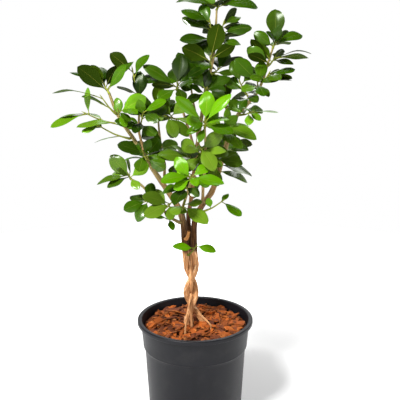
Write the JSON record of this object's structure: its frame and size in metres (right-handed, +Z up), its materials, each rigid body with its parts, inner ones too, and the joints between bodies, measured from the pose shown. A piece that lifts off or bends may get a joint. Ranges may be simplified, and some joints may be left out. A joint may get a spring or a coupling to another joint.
{
  "type": "potted live plant",
  "caption": "Small-leaved indoor fig with braided stems and glossy oval leaves, growing in a round black nursery pot topped with coarse bark chips.",
  "frame": {"origin": "centre of the pot's underside", "axes": "+Z up along the pot's axis, -Y the front of the plant, +X to the right of the front"},
  "size_m": [0.3861, 0.2241, 0.7028],
  "materials": {
    "pot_plastic": "satin black moulded plastic",
    "potting_mix": "dark crumbly soil",
    "bark_chips": "rough orange-brown bark",
    "stem_bark": "pale tan bark with fine upright grain",
    "branch_bark": "brown bark",
    "fresh_cut": "fresh orange cut wood",
    "leaves": "glossy green upper side, paler matte underside"
  },
  "bodies": {
    "root": {"aerial_root_back": "stem_bark", "aerial_root_front": "stem_bark", "aerial_root_right": "stem_bark", "bark_mulch": "bark_chips", "branch_back": "branch_bark", "branch_back_left": "branch_bark", "branch_back_right": "branch_bark", "branch_centre": "branch_bark", "branch_front": "branch_bark", "branch_front_low": "branch_bark", "branch_left_high": "branch_bark", "branch_left_low": "branch_bark", "pot": "pot_plastic", "potting_soil": "potting_mix", "pruned_stub": "fresh_cut", "shoot_back_left_low": "leaves", "shoot_back_left_tip": "leaves", "shoot_back_low": "leaves", "shoot_back_right_low": "leaves", "shoot_back_right_tip": "leaves", "shoot_back_tip": "leaves", "shoot_bowl": "leaves", "shoot_centre_matte": "leaves", "shoot_centre_up": "leaves", "shoot_front_low_tip": "leaves", "shoot_front_tip": "leaves", "shoot_left_crown": "leaves", "shoot_left_face": "leaves", "shoot_left_inner": "leaves", "shoot_left_long": "leaves", "shoot_left_low_tip": "leaves", "shoot_left_middle": "leaves", "shoot_left_outer": "leaves", "shoot_left_tip": "leaves", "shoot_left_under": "leaves", "shoot_low_front": "leaves", "shoot_low_left_far": "leaves", "shoot_low_left_near": "leaves", "shoot_low_left_small": "leaves", "shoot_middle_face": "leaves", "shoot_middle_low": "leaves", "shoot_middle_right": "leaves", "shoot_right_face": "leaves", "shoot_right_glossy": "leaves", "shoot_right_inner": "leaves", "shoot_right_low": "leaves", "shoot_right_low_tip": "leaves", "shoot_right_mid": "leaves", "shoot_right_sprig": "leaves", "shoot_right_tip": "leaves", "shoot_right_wide": "leaves", "shoot_top": "leaves", "shoot_top_left": "leaves", "shoot_top_right": "leaves", "shoot_trunk": "leaves", "shoot_upper_left": "leaves", "shoot_upper_right": "leaves", "stem_left": "stem_bark", "stem_middle": "stem_bark", "stem_right": "stem_bark"}
  },
  "joints": []
}
